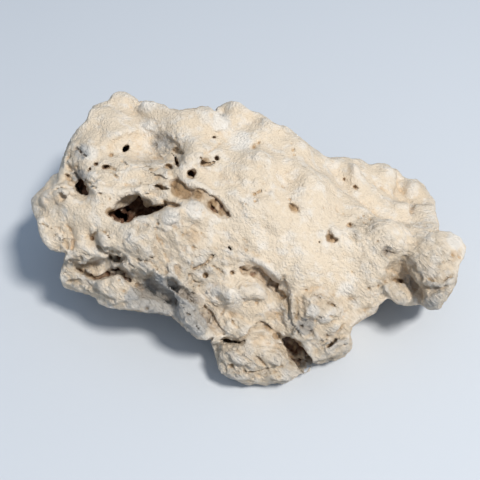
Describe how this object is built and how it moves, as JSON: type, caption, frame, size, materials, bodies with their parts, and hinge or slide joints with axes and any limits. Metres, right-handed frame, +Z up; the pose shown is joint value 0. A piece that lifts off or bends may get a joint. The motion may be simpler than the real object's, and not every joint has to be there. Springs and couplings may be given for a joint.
{
  "type": "holey limestone rock",
  "caption": "Long, low lump of pale weathered limestone with pits, a deep cave in its top, a steep undercut front and worn flat feet.",
  "frame": {"origin": "under the middle of the rock, on the surface that its feet rest on", "axes": "+X along the rock's length towards its arm, +Z up from its feet, -Y out of its steep front"},
  "size_m": [0.171, 0.1146, 0.0684],
  "materials": {
    "limestone": "matte, chalky"
  },
  "bodies": {
    "root": {"holey_rock": "limestone"}
  },
  "joints": []
}
